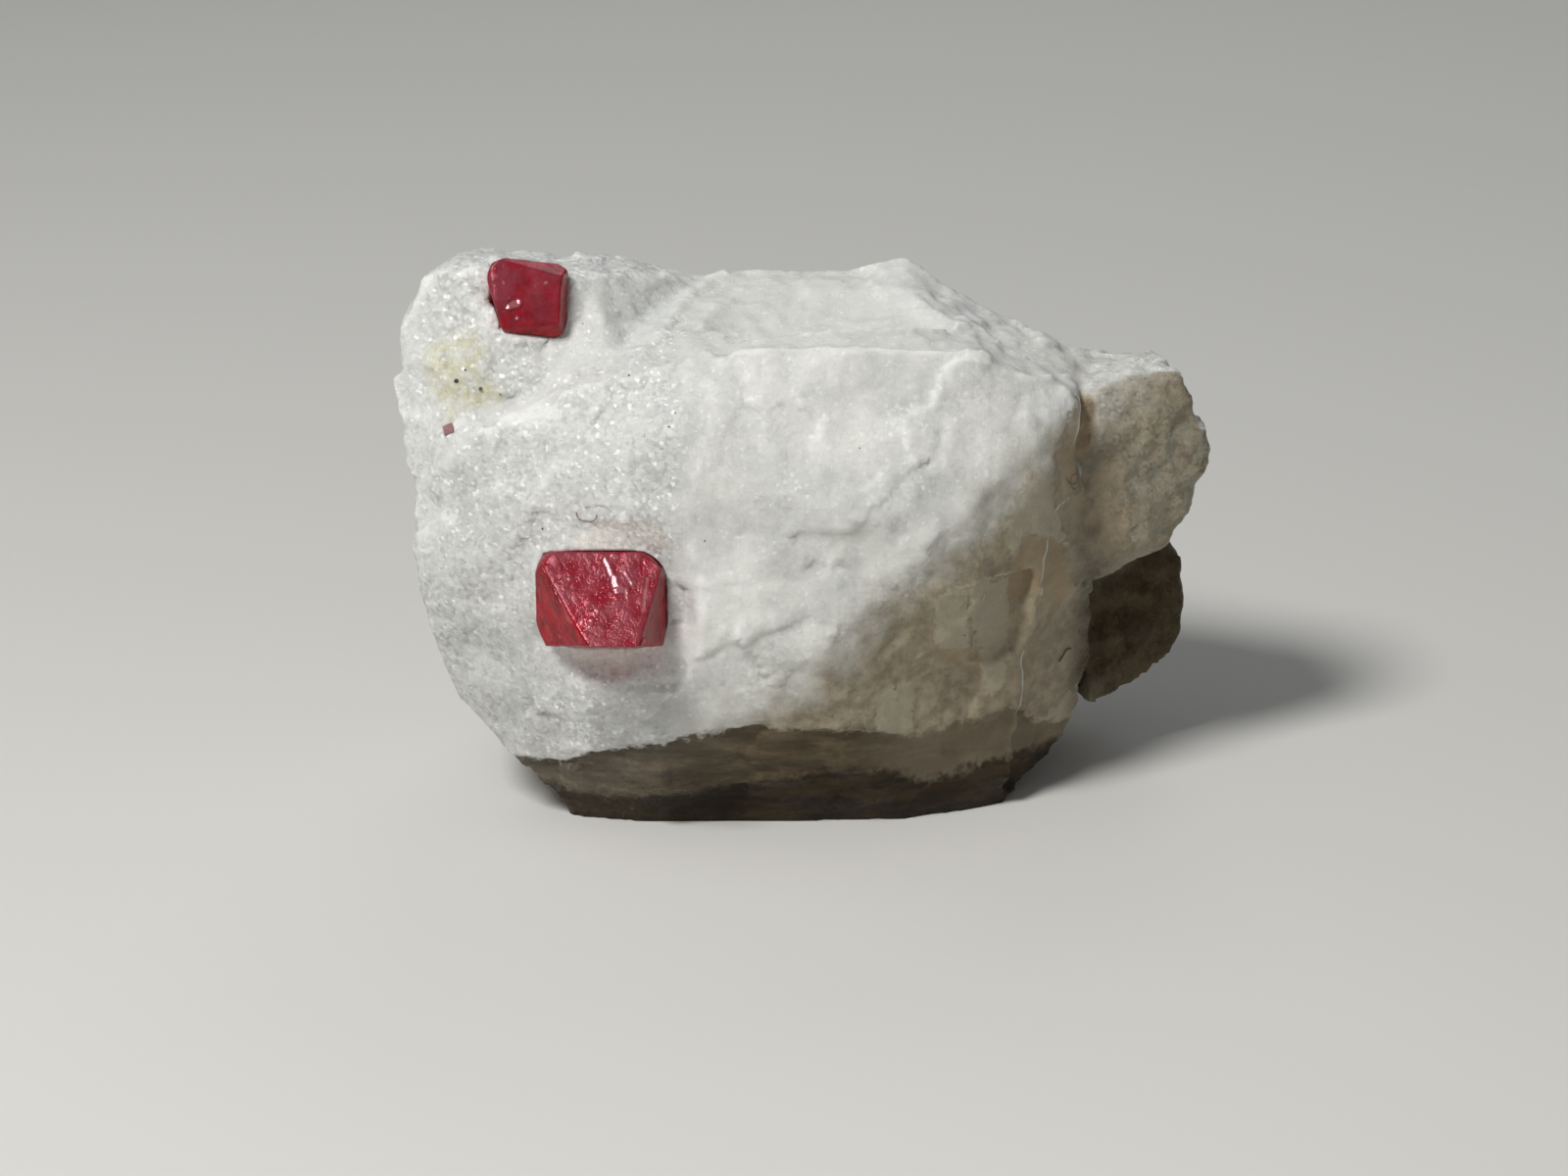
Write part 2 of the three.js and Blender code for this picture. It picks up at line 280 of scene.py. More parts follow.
# Planes that cut a crystal's worn faces: a point in each and its outward normal
WORN_FACES = {
    "spinel_upper": [
        ((-18.38, -8.12, 37.78), (0.16, -0.87, 0.46)),
        ((-18.38, -8.12, 37.78), (0.2, -0.96, 0.18)),
        ((-21.55, -0.22, 36.26), (-0.96, -0.096, -0.263)),
    ],
}
# How far a crystal's outer apex lies below the middle of its girdle, for each mm of height
APEX_DROP = {"spinel_large": 0.22}
# The two ends of the ridge at a crystal's tip, across from the middle of its girdle
TIP_RIDGE = {"spinel_large": (-0.9, 2.9)}
# Radii of a crystal's worn corners, from the upper right one anticlockwise, seen from in front
WORN_CORNERS = {"spinel_large": (2.4, 2.0, 2.4, 1.9), "spinel_upper": (1.5, 1.7, 1.6, 1.2)}
# Shell-shaped chips in the crystals: the two ends of each, across and up from the middle of
# the girdle, its half width and its depth
CHIPS = {
    "spinel_large": [
        ((0.33, 3.09), (0.93, 2.18), 0.20, 0.09),
        ((0.93, 2.18), (1.12, 1.64), 0.26, 0.12),
        ((1.12, 1.66), (1.78, 1.62), 0.14, 0.08),
        ((1.78, 1.68), (1.76, 1.27), 0.12, 0.09),
        ((1.66, 2.46), (2.2, 1.86), 0.13, 0.07),
        ((0.8, 3.34), (1.2, 3.23), 0.1, 0.04),
        ((3.18, 2.18), (2.99, 1.27), 0.12, 0.09),
        ((2.99, 1.27), (2.87, 0.6), 0.1, 0.08),
        ((-0.52, 0.09), (-0.64, -0.1), 0.16, 0.06),
        ((1.2, 0.16), (1.28, 0.1), 0.1, 0.05),
        ((2.93, -0.95), (2.86, -1.1), 0.1, 0.06),
        ((-2.1, 2.2), (-1.98, 2.15), 0.1, 0.04),
        ((-3.95, 2.95), (-2.1, 0.22), 0.07, 0.02),
        ((-2.1, 0.22), (-1.9, -0.05), 0.11, 0.04),
    ],
    "spinel_upper": [
        ((-1.5, -0.78), (-1.0, -0.5), 0.3, 0.08),
        ((-0.9, -1.5), (-0.85, -1.52), 0.13, 0.06),
        ((0.75, 0.95), (0.85, 1.0), 0.11, 0.05),
        ((-1.95, 0.8), (-1.9, 0.7), 0.1, 0.05),
    ],
}
# Direction that a crystal's frosted faces look in
FROSTED = {"spinel_large": (0.45, -0.6, 0.66), "spinel_upper": (-0.2, -0.75, 0.63)}
SPINEL_IOR = 1.718
SPINEL_GLOSS = 0.08
SPINEL_TINT = (1.0, 0.42, 0.48)
SPINEL_CLEARNESS = 0.55
# Pale pink of fresh chips in the crystals, partly a painted glint
CHIP_PALE_AND_GLINT = (0.97, 0.8, 0.82)
# Each spinel: its body where glassy and where frosted, the colour that light keeps in it,
# how much it absorbs per metre, and the roughness of its glassy faces
SPINELS = {
    "spinel": ((0.66, 0.003, 0.022), (0.45, 0.085, 0.12), (0.97, 0.06, 0.13), 170, 0.07),
    "spinel_pale": ((0.74, 0.36, 0.36), (0.8, 0.5, 0.5), (0.9, 0.6, 0.6), 300, 0.4),
}

# Dust fibres as seen from in front: X and Z along each, and its thickness
FIBRES = {
    "hair_brown": (
        [(-15.5, 24.6), (-15.3, 24.2), (-14.8, 24.0), (-14.3, 24.15), (-14.1, 24.5)],
        0.028,
    ),
    "hair_black": ([(17.3, 10.0), (17.5, 10.5), (17.8, 10.75), (18.1, 10.9)], 0.045),
    "thread": (
        [
            (17.1, 25.2), (17.4, 24.7), (17.9, 24.5), (18.0, 24.9), (17.6, 25.1), (17.5, 24.4),
            (17.9, 24.0),
        ],
        0.028,
    ),
    "hair_fine": ([(-14.9, 24.9), (-14.3, 25.2), (-13.6, 25.1), (-13.1, 24.8)], 0.02),
}
# How far a fibre stands off the rock where it lies on it and where it lifts
FIBRE_REST, FIBRE_LIFT = 0.02, 0.12
# Dark mineral specks as seen from in front: X, Z and radius
SPECKS = [
    (-17.8, 23.1, 0.07), (-7.0, 22.9, 0.06), (-23.5, 32.4, 0.16), (-21.9, 31.9, 0.13),
    (-22.9, 33.1, 0.08), (-12.0, 33.2, 0.07), (-9.3, 30.6, 0.07), (-8.9, 31.3, 0.06),
    (3.2, 28.9, 0.05), (-20.6, 31.5, 0.06), (-15.2, 35.4, 0.05), (10.4, 14.9, 0.06),
]
# Dark and light colour of each kind of dust, and its roughness
DUST = {
    "hair_brown": ((0.09, 0.02, 0.015), (0.2, 0.06, 0.04), 0.5),
    "hair_black": ((0.01, 0.008, 0.008), (0.04, 0.03, 0.03), 0.45),
    "thread": ((0.1, 0.05, 0.03), (0.2, 0.12, 0.08), 0.6),
    "hair_fine": ((0.3, 0.25, 0.22), (0.45, 0.4, 0.36), 0.5),
}
SPECK = ((0.03, 0.028, 0.03), (0.12, 0.11, 0.10), 0.4)


# Node helpers

def new_material(name):
    material = bpy.data.materials.new(name)
    material.use_nodes = True
    return material, material.node_tree


def add(tree, kind, inputs=None, **settings):
    """A node with its settings; each input is a value, or a socket to link."""
    made = tree.nodes.new(kind)
    for key, value in settings.items():
        setattr(made, key, value)
    for key, value in (inputs or {}).items():
        if isinstance(value, bpy.types.NodeSocket):
            tree.links.new(value, made.inputs[key])
        else:
            made.inputs[key].default_value = value
    return made


def place_in_mm(tree):
    coordinates = add(tree, "ShaderNodeTexCoord")
    scaled = add(
        tree,
        "ShaderNodeVectorMath",
        {0: coordinates.outputs["Object"], "Scale": 1 / MM},
        operation="SCALE",
    )
    return scaled.outputs[0]


def maths(tree, operation, first, second=0.0, clamp=False):
    made = add(tree, "ShaderNodeMath", {0: first, 1: second}, operation=operation)
    made.use_clamp = clamp
    return made.outputs[0]


def spread(tree, value, low, high, to_low=0.0, to_high=1.0):
    """Maps low..high to to_low..to_high with soft ends."""
    made = add(
        tree,
        "ShaderNodeMapRange",
        {"Value": value, "From Min": low, "From Max": high, "To Min": to_low, "To Max": to_high},
        interpolation_type="SMOOTHSTEP",
    )
    return made.outputs[0]


def mix(tree, factor, first, second):
    made = tree.nodes.new("ShaderNodeMix")
    made.data_type = "RGBA"
    for index, value in ((0, factor), (6, first), (7, second)):
        if isinstance(value, bpy.types.NodeSocket):
            tree.links.new(value, made.inputs[index])
        elif index:
            made.inputs[index].default_value = (*value, 1)
        else:
            made.inputs[index].default_value = value
    return made.outputs[2]


def coat(tree, amount, strength, under, over):
    """Lays one colour over another, by an amount times a strength."""
    return mix(tree, maths(tree, "MULTIPLY", amount, strength), under, over)


def cloud(tree, place, scale, detail=4.0, roughness=0.55, stretch=None):
    """Noise of about 0 to 1 that changes over 1/scale millimetres."""
    if stretch:
        place = add(
            tree, "ShaderNodeVectorMath", {0: place, 1: stretch}, operation="MULTIPLY"
        ).outputs[0]
    made = add(
        tree,
        "ShaderNodeTexNoise",
        {"Vector": place, "Scale": scale, "Detail": detail, "Roughness": roughness},
    )
    return made.outputs[0]


def grain_nodes(tree, place, scale):
    """Random colour of each grain, and the height of its tipped flat face."""
    cells = add(
        tree, "ShaderNodeTexVoronoi", {"Vector": place, "Scale": scale, "Randomness": 1.0}
    )
    inside = add(
        tree,
        "ShaderNodeVectorMath",
        {0: place, 1: cells.outputs["Position"]},
        operation="SUBTRACT",
    )
    tip = add(
        tree,
        "ShaderNodeVectorMath",
        {0: cells.outputs["Color"], 1: (0.5, 0.5, 0.5)},
        operation="SUBTRACT",
    )
    height = add(
        tree,
        "ShaderNodeVectorMath",
        {0: inside.outputs[0], 1: tip.outputs[0]},
        operation="DOT_PRODUCT",
    )
    return cells.outputs["Color"], height.outputs["Value"]


def share(tree, name):
    """A zone's weight on the mesh, 0 to 1."""
    return add(tree, "ShaderNodeAttribute", attribute_name=name).outputs["Fac"]


# Materials

def marble_material():
    material, tree = new_material("marble")
    shader = tree.nodes["Principled BSDF"]
    place = place_in_mm(tree)
    sugar, ochre, stain = share(tree, "sugar"), share(tree, "ochre"), share(tree, "stain")
    chip, edge, hollow = share(tree, "chip"), share(tree, "edge"), share(tree, "hollow")

    broad = cloud(tree, place, 0.16, 5)
    fine = cloud(tree, place, 1.1, 6, 0.65)
    ragged = spread(tree, cloud(tree, place, 1.5, 5, 0.65), 0.3, 0.7, -0.28, 0.28)

    def patch(name, soft=0.07):
        """Weight of a patch, with a crisp ragged edge."""
        return spread(tree, maths(tree, "ADD", share(tree, name), ragged), -soft, soft)

    snow, glassy, pale, tan = patch("snow", 0.12), patch("glassy", 0.4), patch("pale"), patch("tan")
    brown, dent, under = patch("brown"), patch("dent", 0.4), patch("under", 0.4)
    streaks = cloud(tree, place, 0.5, 5, 0.6, (1.0, 1.0, 0.28))
    coarse_colour, coarse_face = grain_nodes(tree, place, 1.7)
    small_colour, small_face = grain_nodes(tree, place, 4.2)
    speckle = add(tree, "ShaderNodeSeparateColor", {"Color": small_colour}).outputs[0]
    patches = add(tree, "ShaderNodeSeparateColor", {"Color": coarse_colour}).outputs[1]

    colour = mix(tree, spread(tree, broad, 0.40, 0.64, 0.0, 0.75), MARBLE["white"], MARBLE["grey"])
    colour = mix(tree, spread(tree, streaks, 0.52, 0.68, 0.0, 0.5), colour, MARBLE["streak"])
    # Sugary ground: grains from glassy grey to white
    mottle = mix(tree, speckle, MARBLE["glassy grain"], MARBLE["white grain"])
    mottle = coat(tree, patches, 0.4, mottle, MARBLE["coarse grain"])
    colour = coat(tree, sugar, 0.7, colour, mottle)
    colour = coat(tree, glassy, 0.75, colour, MARBLE["glassy"])
    colour = coat(tree, snow, 0.9, colour, MARBLE["snow"])
    colour = coat(tree, chip, 0.8, colour, MARBLE["chip"])
    # Ridges whitened as worn marble and as a painted highlight, kept out of the painted shade
    unshaded = spread(tree, share(tree, "shade"), 0.0, 0.4, 0.55, 0.0)
    colour = coat(tree, edge, unshaded, colour, MARBLE["edge"])
    # Painted glints: the odd grain face coloured white
    grain_glint, often = spread(tree, speckle, 0.945, 0.97), spread(tree, sugar, 0.2, 0.9, 0.25, 0.9)
    colour = coat(tree, grain_glint, often, colour, MARBLE["painted grain glint"])
    colour = coat(tree, share(tree, "grey"), 0.5, colour, MARBLE["low grey"])
    # Greenish yellow film
    colour = coat(tree, ochre, spread(tree, fine, 0.38, 0.6, 0.15, 0.7), colour, MARBLE["film"])
    # Painted red glow of light through the large crystal, over the dents by it and in its pocket
    colour = coat(tree, dent, 0.55, colour, MARBLE["dent"])
    colour = mix(tree, share(tree, "painted_red_glow"), colour, MARBLE["painted_red_glow"])
    # Painted shade, with some brown-grey staining, that deepens towards the foot on the right
    earth_and_shade = mix(tree, spread(tree, fine, 0.35, 0.65), MARBLE["earth_and_shade"], MARBLE["dark earth"])
    colour = mix(tree, spread(tree, share(tree, "shade"), 0.0, 0.7, 0.0, 0.92), colour, earth_and_shade)
    # Painted shade over the lobe, mottled grey-brown, less towards its top where the light falls
    smudges = cloud(tree, place, 0.55, 6, 0.65)
    uneven = spread(tree, smudges, 0.40, 0.60, 0.92, 0.22)
    colour = coat(tree, share(tree, "lobe_shade"), uneven, colour, MARBLE["lobe"])
    # Painted shadow of the main block on the lobe, by the crevice between them
    colour = mix(tree, share(tree, "lobe_cast_shadow"), colour, MARBLE["lobe_cast_shadow"])
    # Brown staining, tan where thin and dark where thick, with the most in the hollows
    blots = cloud(tree, place, 0.42, 6, 0.62)
    amount = maths(tree, "ADD", stain, maths(tree, "SUBTRACT", blots, 0.5))
    amount = maths(tree, "ADD", amount, maths(tree, "MULTIPLY", hollow, 0.35))
    amount = maths(tree, "SUBTRACT", amount, maths(tree, "MULTIPLY", edge, 0.3))
    thin = maths(tree, "MULTIPLY", spread(tree, amount, 0.05, 0.7), spread(tree, stain, 0.0, 0.14))
    colour = coat(tree, thin, 0.9, colour, MARBLE["thin stain"])
    thick, most = spread(tree, fine, 0.35, 0.6, 0.45, 0.95), spread(tree, amount, 0.55, 1.1)
    colour = coat(tree, thick, most, colour, MARBLE["thick stain"])
    # Fresh chips and weathered faces of the blocks on the right
    flecks = spread(tree, fine, 0.35, 0.65, 0.45, 0.9)
    for name, covered in (("pale", pale), ("tan", tan), ("brown", brown)):
        colour = coat(tree, covered, flecks, colour, MARBLE[name])
    # Layers of the foot, beige and brown, and its dark underside: brown staining, darkened further by
    # painted shade low on the rock
    sheets = cloud(tree, place, 0.55, 7, 0.68, (0.35, 0.35, 1.5))
    layers = MARBLE["light layer"], MARBLE["middle layer"]
    foot = mix(tree, spread(tree, sheets, 0.38, 0.54), *layers)
    foot = mix(tree, spread(tree, sheets, 0.56, 0.63), foot, MARBLE["dark layer"])
    foot = coat(tree, share(tree, "right"), 0.6, foot, MARBLE["beige layer"])
    colour = coat(tree, patch("layered", 0.25), 0.93, colour, foot)
    dirt_and_shade = mix(tree, spread(tree, sheets, 0.40, 0.58), MARBLE["dirt_and_shade"], MARBLE["dark dirt"])
    colour = coat(tree, under, 0.97, colour, dirt_and_shade)
    # The low lobe at the back: dark brown, darkened further by painted shade
    low = mix(tree, spread(tree, smudges, 0.40, 0.60), MARBLE["low lobe"], MARBLE["dark low lobe"])
    colour = mix(tree, share(tree, "low"), colour, low)
    tree.links.new(colour, shader.inputs["Base Color"])

    glossy = spread(tree, speckle, 0.75, 0.95, 0.5, 0.14)
    roughness = mix(tree, spread(tree, sugar, 0.0, 0.6, 0.3, 0.9), (0.5, 0.5, 0.5), glossy)
    roughness = mix(tree, snow, roughness, (0.7, 0.7, 0.7))
    tree.links.new(roughness, shader.inputs["Roughness"])

    facets = maths(tree, "MULTIPLY", coarse_face, spread(tree, sugar, 0.0, 1.0, 0.15, 0.3))
    small = maths(tree, "MULTIPLY", small_face, spread(tree, sugar, 0.0, 1.0, 0.12, 0.5))
    grit = maths(tree, "MULTIPLY", fine, 0.07)
    height = maths(tree, "ADD", maths(tree, "ADD", facets, small), grit)
    bump = add(
        tree, "ShaderNodeBump", {"Height": height, "Strength": 0.85, "Distance": MM}
    )
    tree.links.new(bump.outputs[0], shader.inputs["Normal"])

    shader.inputs["IOR"].default_value = MARBLE_IOR
    shader.inputs["Specular IOR Level"].default_value = MARBLE_GLOSS
    shader.inputs["Subsurface Weight"].default_value = MARBLE_GLOW
    shader.inputs["Subsurface Radius"].default_value = MARBLE_GLOW_SPREAD
    shader.inputs["Subsurface Scale"].default_value = MARBLE_GLOW_DEPTH * MM
    return material


def spinel_material(name, deep, hazy, depth_colour, density, gloss):
    """Clear deep red where the faces are glassy, and hazy pink where they are frosted."""
    material, tree = new_material(name)
    shader = tree.nodes["Principled BSDF"]
    place = place_in_mm(tree)
    frost = share(tree, "frost")
    veil = cloud(tree, place, 0.7, 5, 0.62)
    mist = maths(tree, "MULTIPLY", frost, spread(tree, veil, 0.36, 0.64, 0.3, 0.9))
    wisps = spread(tree, cloud(tree, place, 2.6, 4, 0.7), 0.56, 0.72)
    mist = maths(tree, "ADD", mist, maths(tree, "MULTIPLY", wisps, 0.08), clamp=True)
    # Patches of brighter red at random, painted as an inner glow of light in the crystal
    glow = spread(tree, cloud(tree, place, 0.8, 5, 0.62), 0.38, 0.62)
    body = mix(tree, glow, tuple(0.55 * part for part in deep), deep)
    chipped = share(tree, "chipped")
    colour = mix(tree, mist, body, hazy)
    # Chips paled: the whitish look of fresh fractures and partly a painted glint
    colour = coat(tree, chipped, 0.2, colour, CHIP_PALE_AND_GLINT)
    tree.links.new(colour, shader.inputs["Base Color"])
    pit_face = grain_nodes(tree, place, 2.2)[1]
    pits = cloud(tree, place, 5.0, 3, 0.6)
    roughness = spread(tree, mist, 0.0, 1.0, gloss, gloss + 0.2)
    roughness = maths(tree, "SUBTRACT", roughness, maths(tree, "MULTIPLY", chipped, 0.1), clamp=True)
    tree.links.new(roughness, shader.inputs["Roughness"])
    height = maths(tree, "MULTIPLY", veil, 0.12)
    height = maths(tree, "ADD", height, maths(tree, "MULTIPLY", pits, 0.045))
    height = maths(tree, "ADD", height, maths(tree, "MULTIPLY", pit_face, 0.08))
    strength = spread(tree, chipped, 0.0, 1.0, 0.7, 0.25)
    bump = add(tree, "ShaderNodeBump", {"Height": height, "Strength": strength, "Distance": MM})
    tree.links.new(bump.outputs[0], shader.inputs["Normal"])
    shader.inputs["IOR"].default_value = SPINEL_IOR
    shader.inputs["Specular IOR Level"].default_value = SPINEL_GLOSS
    shader.inputs["Specular Tint"].default_value = (*SPINEL_TINT, 1)
    shader.inputs["Transmission Weight"].default_value = SPINEL_CLEARNESS
    absorption = add(tree, "ShaderNodeVolumeAbsorption")
    absorption.inputs["Color"].default_value = (*depth_colour, 1)
    absorption.inputs["Density"].default_value = density
    output = tree.nodes["Material Output"]
    tree.links.new(absorption.outputs[0], output.inputs["Volume"])
    return material


def dust_material(name, dark, light, roughness):
    material, tree = new_material(name)
    shader = tree.nodes["Principled BSDF"]
    shade = cloud(tree, place_in_mm(tree), 2.5, 3)
    tree.links.new(mix(tree, spread(tree, shade, 0.35, 0.65), dark, light), shader.inputs["Base Color"])
    shader.inputs["Roughness"].default_value = roughness
    return material


def floor_material():
    material, tree = new_material("floor")
    shader = tree.nodes["Principled BSDF"]
    shader.inputs["Base Color"].default_value = FLOOR_COLOUR
    shader.inputs["Roughness"].default_value = 0.9
    return material


# Shapes

def smooth(value, low, high):
    share_of_way = np.clip((value - low) / (high - low), 0, 1)
    return share_of_way * share_of_way * (3 - 2 * share_of_way)


def waves(points, size, seed, stretch=(1, 1, 1)):
    """Smooth noise, about -1 to 1, that changes over size millimetres."""
    places = points * np.array(stretch) / size + seed
    return np.array([noise.noise(Vector(p)) for p in places])


def terraces(points, size, seed, steps, stretch=(1, 1, 1)):
    """Noise of about -1 to 1 cut into flat levels with short steep steps between."""
    level = waves(points, size, seed, stretch) * steps
    whole = np.floor(level)
    return (whole + smooth(level - whole, 0, 0.2)) / steps


def grains(points, size, seed):
    """Height of flat-faced grains about size millimetres across, each tipped its own way."""
    places = points / size + seed
    heights = np.empty(len(points))
    for i, p in enumerate(places):
        p = Vector(p)
        middle = noise.voronoi(p)[1][0]
        tip = noise.cell_vector(middle) - Vector((0.5, 0.5, 0.5))
        heights[i] = tip.dot(p - middle)
    return heights * size


def zone(points, spots, wobble):
    """Weight 0 to 1 inside a set of soft ellipsoids with an uneven edge."""
    weight = np.zeros(len(points))
    for centre, half, *given in spots:
        strength = given[0] if given else 1.0
        away = np.linalg.norm((points - centre) / np.array(half), axis=1)
        inside = smooth(-away - wobble * ZONE_WOBBLE, -1.15, -0.6)
        weight = np.maximum(weight, strength * inside)
    return weight


def seen(points):
    """Where each point is in the view: millimetres right of and up from its middle."""
    offset = points - np.array(AIM)
    back = np.array([0, -math.cos(ELEVATION), math.sin(ELEVATION)])
    up = np.array([0, math.sin(ELEVATION), math.cos(ELEVATION)])
    nearer = DISTANCE / (DISTANCE - offset @ back)
    return np.column_stack([offset[:, 0] * nearer, offset @ up * nearer])


def depth_inside(places, outline):
    """How far each place lies inside an outline; less than 0 outside it."""
    nearest = np.full(len(places), np.inf)
    within = np.zeros(len(places), bool)
    for start, end in zip(outline, outline[1:] + outline[:1]):
        start, side = np.array(start), np.array(end) - np.array(start)
        run = np.clip((places - start) @ side / (side @ side), 0, 1)
        nearest = np.minimum(nearest, np.linalg.norm(places - start - run[:, None] * side, axis=1))
        crosses = (start[1] > places[:, 1]) != (end[1] > places[:, 1])
        slant = side[0] / side[1] if side[1] else 0
        within ^= crosses & (places[:, 0] < start[0] + (places[:, 1] - start[1]) * slant)
    return np.where(within, nearest, -nearest)


def patch_zones(points, normals):
    """For each patch of the front, how far every point lies inside it."""
    places = seen(points)
    places = places + 0.16 * np.column_stack([waves(points, 1.5, 33.1), waves(points, 1.5, 53.7)])
    facing = normals @ np.array([0, -math.cos(ELEVATION), math.sin(ELEVATION)])
    shown = (facing - PATCH_FACING) * 8
    zones = {}
    for name, outlines in PATCHES.items():
        depth = np.max([depth_inside(places, outline) for outline in outlines], axis=0)
        zones[name] = np.clip(np.minimum(depth, shown), -PATCH_DEPTH, PATCH_DEPTH)
    behind = smooth(points[:, 1], -5, 2)
    wobble = 0.9 * waves(points, 4.2, 19.3) + 0.5 * waves(points, 1.7, 29.3)
    for name, line, height in (("layered", LAYER_LINE, 4.6), ("under", KEEL_LINE, 2.6)):
        below = np.interp(places[:, 0], *np.array(line).T) - places[:, 1] + 0.5 * wobble
        level = height + wobble + 3.2 * waves(points, 11, 37.7)
        below = below + (level - points[:, 2] - below) * behind
        zones[name] = np.clip(below, -PATCH_DEPTH, PATCH_DEPTH)
    return zones


def fine_mesh(node, grid, rounds):
    """An even fine mesh of a CAD node's solid with its edges worn round."""
    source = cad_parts[node]
    mesh = source.data.copy()
    made = bmesh.new()
    made.from_mesh(mesh)
    bmesh.ops.remove_doubles(made, verts=made.verts, dist=1e-7)
    for point, normal in WORN_FACES.get(node, ()):
        cut = bmesh.ops.bisect_plane(
            made,
            geom=made.verts[:] + made.edges[:] + made.faces[:],
            plane_co=Vector(point) * MM,
            plane_no=Vector(normal),
            clear_outer=True,
        )
        rim = [e for e in cut["geom_cut"] if isinstance(e, bmesh.types.BMEdge)]
        bmesh.ops.holes_fill(made, edges=rim)
    made.to_mesh(mesh)
    made.free()
    draft = bpy.data.objects.new("draft", mesh)
    bpy.context.scene.collection.objects.link(draft)
    remesh = draft.modifiers.new("grid", "REMESH")
    remesh.mode = "VOXEL"
    remesh.voxel_size = grid * MM
    wear = draft.modifiers.new("wear", "SMOOTH")
    wear.factor = 0.5
    wear.iterations = rounds
    evaluated = draft.evaluated_get(bpy.context.evaluated_depsgraph_get())
    finished = bpy.data.meshes.new_from_object(evaluated)
    bpy.data.objects.remove(draft)
    finished.materials.clear()
    return finished


def read(mesh):
    """Points in millimetres and unit normals of a mesh."""
    points = np.empty(len(mesh.vertices) * 3)
    mesh.vertices.foreach_get("co", points)
    normals = np.empty(len(mesh.vertices) * 3)
    mesh.vertices.foreach_get("normal", normals)
    return points.reshape(-1, 3) / MM, normals.reshape(-1, 3)


def write(mesh, points):
    mesh.vertices.foreach_set("co", (points * MM).ravel())
    mesh.update()


def paint(mesh, name, weights):
    """Keeps a weight for every point of a mesh, for its material to read."""
    layer = mesh.attributes.new(name, "FLOAT", "POINT")
    layer.data.foreach_set("value", weights.astype(np.float32))


def crystal_planes(node):
    """Outward normals and distances, in millimetres, of a convex CAD node's faces."""
    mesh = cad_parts[node].data
    normals = np.array([p.normal for p in mesh.polygons])
    middles = np.array([p.center for p in mesh.polygons]) / MM
    planes = np.hstack([normals, (normals * middles).sum(1)[:, None]])
    planes = np.unique(planes.round(3), axis=0)
    return planes[:, :3], planes[:, 3]


def worn_planes(node):
    """The faces of a crystal together with those that wear has given it."""
    normals, offsets = crystal_planes(node)
    for point, normal in WORN_FACES.get(node, ()):
        normal = np.array(normal) / np.linalg.norm(normal)
        normals = np.vstack([normals, normal])
        offsets = np.append(offsets, normal @ np.array(point))
    return normals, offsets


def outside(points, planes):
    """How far each point is out of a crystal's nearest face, and that face's normal."""
    normals, offsets = planes
    away = points @ normals.T - offsets
    nearest = away.argmax(1)
    return away[np.arange(len(points)), nearest], normals[nearest]


def settled(values, edges, rounds):
    """Values evened out over a mesh's edges, round by round."""
    count = np.bincount(edges.ravel(), minlength=len(values))[:, None]
    for _ in range(rounds):
        total = np.column_stack([
            np.bincount(edges[:, 0], column[edges[:, 1]], len(values))
            + np.bincount(edges[:, 1], column[edges[:, 0]], len(values))
            for column in values.T
        ])
        values = (values + total / count) / 2
    return values


def level_rims(points):
    """Lays the rock around each crystal level with its girdle, so that its whole outline shows."""
    for node, (centre, axis, _, _) in GIRDLES.items():
        axis = np.array(axis)
        above = (points - np.array(centre)) @ axis
        planes = crystal_planes(node)
        away, _ = outside(points - axis * above[:, None], planes)
        near = 1 - smooth(away, 0.5, RIM_REACH)
        lower = np.maximum(above + RIM_DEPTH, 0) * near
        points = points - axis * lower[:, None]
    return points


def ledge_drop(points, normals):
    """Depth of the steps in the front at each point."""
    drop = np.zeros(len(points))
    front = smooth(-normals[:, 1], 0.35, 0.7)
    wobble = waves(points, 1.6, 41.3) * 0.35 + waves(points, 0.7, 12.1) * 0.15
    for start, end, depth, reach in LEDGES:
        start, end = np.array(start), np.array(end)
        along = end - start
        length = np.linalg.norm(along)
        along = along / length
        across = np.array([along[1], -along[0]])
        offset = points[:, [0, 2]] - start
        run = offset @ along
        below = offset @ across + wobble
        inside = smooth(run, -1.0, 0.6) * smooth(-run, -length - 1.0, -length + 0.6)
        drop += depth * front * inside * smooth(below, -0.15, 0.25) * (1 - smooth(below, 0.3, reach))
    return drop


def blocks(points):
    """Random level, 0 to 1, of the upright cleavage block that each point lies in."""
    along = points @ BLOCK_WAY + 0.2 * waves(points, 5.2, 5.1)
    column = np.floor(along / BLOCK_WIDTH)
    row = np.floor(points[:, 2] / BLOCK_HEIGHT + 0.37 * column + 0.05 * waves(points, 4.5, 6.1))
    return np.array([noise.cell(Vector((c, r, 0.5))) for c, r in zip(column, row)])


